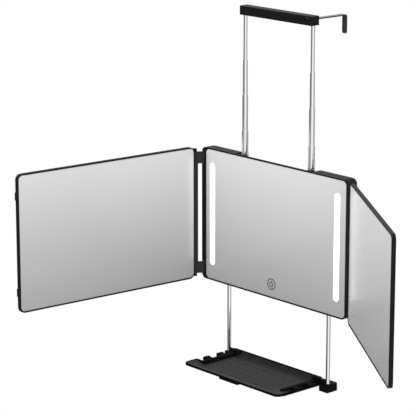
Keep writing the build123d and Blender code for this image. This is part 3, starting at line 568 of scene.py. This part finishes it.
def clear_heads(mesh):
    """Join the grid's faces into one on each flat side of the teeth's heads."""
    heads = {vert for vert in mesh.verts
             if abs(vert.co.x - tray_middle) > (neck_half - 0.01) * MM
             and vert.co.y > tray_high.y - (apron_start - 1) * MM}
    spare = [edge for edge in mesh.edges
             if heads.issuperset(edge.verts) and edge.calc_face_angle() < flat_angle]
    bmesh.ops.dissolve_edges(mesh, edges=spare, use_verts=True, use_face_split=False)


def round_head(mesh, depth):
    """Round the upright edges of the teeth's heads at a depth, left and right."""
    wanted = []
    for edge in mesh.edges:
        place = edge.verts[0].co
        across = abs(place.x - tray_middle) - head_half * MM
        along = tray_high.y - place.y - depth * MM
        if is_upright(edge) and abs(across) < match_gap and abs(along) < match_gap:
            wanted.append(edge)
    bevel(mesh, wanted, tooth_corner, tooth_segments)


def make_tray(smooth_painted_shade, grained):
    """Moulded tray: a grained well with a cove at its back, and T-shaped teeth along its sides; outside the
    well it is painted darker and almost without shine, as painted shade.
    """
    mesh = tray_sheet()
    grain_well(mesh)
    clear_heads(mesh)
    for place in tooth_places:
        for end in (-1, 1):
            round_head(mesh, place + end * head_width / 2)
    lug_half = ear_half - lug_inset - lug_length / 2
    for side in (-1, 1):
        lug = tray_place(side * lug_half, pivot_depth, rim_rise - pivot_below)
        add_cylinder(mesh, lug, lug_radius, lug_length, lug_segments, across=True)
    across, depth, below = tab_middle
    tab = add_box(mesh, tray_place(across, depth, rim_rise - below), tab_size)
    bevel(mesh, uprights_of(mesh, tab), tab_corner, tab_segments)
    piece = new_piece("moulded_tray", mesh, smooth_painted_shade, "tray")
    piece.data.materials.append(grained)
    drains = []
    for side, first_row, row_count in drain_lines:
        for row in range(first_row, first_row + row_count):
            across = side * (drain_half + drain_spread * row)
            drains.append(tray_place(across, drain_start + drain_pitch * row, 0))
    drill_holes(piece, drains, drain_radius, drain_length)
    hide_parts("tray")


# ---------------------------------------------------------------- rod-end blocks, in mm
block_low, block_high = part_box("rod_ends")
block_size = (20.1, 23.4, 13.6)
block_grow, block_sink = 1.3, 0.6            # outwards past the solid's side, and below its top
block_corner, block_edge = 2.0, 0.7
horn_size = (11.2, 6.5, 9.0)                 # raised beside the rod, its foot sunk into the block
horn_set, horn_foot = 1.2, 2.4               # behind the block's front, and below its top
horn_corner, horn_edge = 1.8, 1.2
rod_radius = 3.3
recess_radius, recess_length = 3.6, 8.0      # round each screw's head, half of it in the block
bore_radius, bore_length = 2.1, 9.0          # for the tray's pins, half of it in the block


def make_blocks(material):
    """Blocks on the ends of the rods, each with a small horn beside the rod, above the tray's pivot."""
    mesh = bmesh.new()
    width, length, height = block_size
    top = block_high.z - block_sink * MM
    front = (block_low.y + block_high.y) / 2 - length / 2 * MM
    rod_low, rod_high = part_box("lower_rods")
    pin_low, pin_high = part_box("tray_pins")
    recesses, bores = [], []
    for side in (-1, 1):
        outer = (block_high.x if side > 0 else block_low.x) + side * block_grow * MM
        inner = outer - side * width * MM
        block = Vector(((outer + inner) / 2, front + length / 2 * MM, top - height / 2 * MM))
        add_rounded_box(mesh, block, block_size, block_corner, block_edge)
        horn = Vector((inner + side * horn_size[0] / 2 * MM, front + (horn_set + horn_size[1] / 2) * MM,
                       top + (horn_size[2] / 2 - horn_foot) * MM))
        add_rounded_box(mesh, horn, horn_size, horn_corner, horn_edge)
        rod_x = rod_high.x - rod_radius * MM if side > 0 else rod_low.x + rod_radius * MM
        recesses.append(Vector((rod_x, (rod_low.y + rod_high.y) / 2, top - height * MM)))
        bores.append(Vector((inner, (pin_low.y + pin_high.y) / 2, (pin_low.z + pin_high.z) / 2)))
    piece = new_piece("rod_end_blocks", mesh, material, "lower_frame")
    drill_holes(piece, recesses, recess_radius, recess_length)
    drill_holes(piece, bores, bore_radius, bore_length, across=True)
    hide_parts("rod_ends")


# ---------------------------------------------------------------- studio, in m
floor_drop = 0.5               # floor below the lowest point of the hanging mirror
floor_radius = 1.0
floor_roughness = 0.9
mottle_size = 300              # mm
back_grey = 0.16
wall_greys = (                 # bearing in degrees round from the right, and the grey that metal sees there
    (-110, 0.2), (-75, 0.4), (-55, 1.0), (0, 1.0), (25, 0.35), (110, 0.35), (150, back_grey))
ceiling_rise = 0.15            # the walls fade into the white ceiling between level and here
ambient_strength = 0.92
softboxes = {                  # place from the mirror's middle, side, and power in watts
    "overhead_softbox": ((0.3, -0.2, 2.2), 2.0, 15),
    "front_softbox": ((1.2, -2.6, 1.2), 1.5, 5),
}


def make_floor():
    """Plain white disc, far enough below for the mirror to hang freely."""
    material, tree, shader, place = new_material("white_studio_floor")
    mottle = add_node(tree, "TexNoise", {"Vector": place, "Scale": 1 / (mottle_size * MM)})
    tint = add_node(tree, "ValToRGB", {"Fac": mottle.outputs["Fac"]})
    tint.color_ramp.elements[0].color = linear("#F6F6F6")
    tint.color_ramp.elements[1].color = linear("#FAFAFA")
    tree.links.new(tint.outputs["Color"], shader.inputs["Base Color"])
    shader.inputs["Roughness"].default_value = floor_roughness
    mesh = bmesh.new()
    bmesh.ops.create_circle(mesh, cap_ends=True, segments=96, radius=floor_radius)
    middle = (model_middle.x, model_middle.y, model_low.z - floor_drop)
    bmesh.ops.translate(mesh, verts=mesh.verts, vec=middle)
    data = bpy.data.meshes.new("floor")
    mesh.to_mesh(data)
    mesh.free()
    data.materials.append(material)
    floor = bpy.data.objects.new("floor", data)
    bpy.context.scene.collection.objects.link(floor)


def room_seen_by_metal(tree):
    """White room: below its ceiling, metal sees a dark wall at the left and a grey one behind the right."""
    direction = add_node(tree, "TexCoord").outputs["Generated"]
    axes = add_node(tree, "SeparateXYZ", {"Vector": direction}).outputs
    bearing = add_node(tree, "Math", {0: axes["Y"], 1: axes["X"]}, operation="ARCTAN2")
    share = add_node(tree, "MapRange", {"Value": bearing.outputs[0], "From Min": -pi, "From Max": pi})
    walls = add_node(tree, "ValToRGB", {"Fac": share.outputs["Result"]})
    stops = walls.color_ramp.elements
    for end in (0, 1):
        stops[end].position = end
        stops[end].color = (back_grey, back_grey, back_grey, 1)
    for turn, grey in wall_greys:
        stop = stops.new((turn + 180) / 360)
        stop.color = (grey, grey, grey, 1)
    rise = add_node(tree, "MapRange", {"Value": axes["Z"], "From Min": 0.0, "From Max": ceiling_rise})
    room = add_node(tree, "Mix", {
        0: rise.outputs["Result"], 6: walls.outputs["Color"], 7: linear("#FFFFFF")}, data_type="RGBA")
    return add_node(tree, "Background", {"Color": room.outputs[2], "Strength": 1.0}).outputs[0]


def make_world():
    """Even white light, with a white background for the camera and through glass, and a room for metal."""
    world = bpy.data.worlds.new("studio")
    world.use_nodes = True
    tree = world.node_tree
    tree.nodes.clear()
    mirrored = room_seen_by_metal(tree)
    rays = add_node(tree, "LightPath").outputs
    ambient = {"Color": linear("#FFFFFF"), "Strength": ambient_strength}
    seen = add_node(tree, "Background", ambient).outputs[0]
    shown = add_node(tree, "Background", {"Color": linear("#FFFFFF"), "Strength": 1.0}).outputs[0]
    for kind, view in (("Glossy", mirrored), ("Transmission", shown), ("Camera", shown)):
        seen = add_node(tree, "MixShader", {0: rays[f"Is {kind} Ray"], 1: seen, 2: view}).outputs[0]
    add_node(tree, "OutputWorld", {"Surface": seen})
    bpy.context.scene.world = world


def make_softbox(name, offset, side, power):
    """Square softbox, turned to the mirror's middle."""
    data = bpy.data.lights.new(name, "AREA")
    data.size = side
    data.energy = power
    lamp = bpy.data.objects.new(name, data)
    bpy.context.scene.collection.objects.link(lamp)
    lamp.location = model_middle + Vector(offset)
    lamp.rotation_euler = (-Vector(offset)).to_track_quat("-Z", "Y").to_euler()


make_camera()
finish_nodes()
make_touch_mark()
# polypropylene, grained in the well; outside the well, on the rim, teeth and walls, it is painted blacker
# than the frames and almost without shine, as painted shade
make_tray(
    satin_surface("black_polypropylene_painted_shade", "#0B0B0C", "#0F0F10",
                  roughness=0.5, grain=0.6, depth=0.02, specular=0.01),
    satin_surface("grained_black_polypropylene", "#1C1C1D", "#232324",
                  roughness=0.5, grain=0.6, depth=0.05, specular=0.12),
)
# glass-filled nylon: a dull black
make_blocks(satin_surface("black_glass_filled_nylon", "#0A0A0B", "#0F0F10",
                          roughness=0.5, grain=0.5, depth=0.03, specular=0.04))
make_floor()
make_world()
for softbox_name, (softbox_offset, softbox_side, softbox_power) in softboxes.items():
    make_softbox(softbox_name, softbox_offset, softbox_side, softbox_power)
bpy.context.scene.view_settings.view_transform = "Standard"
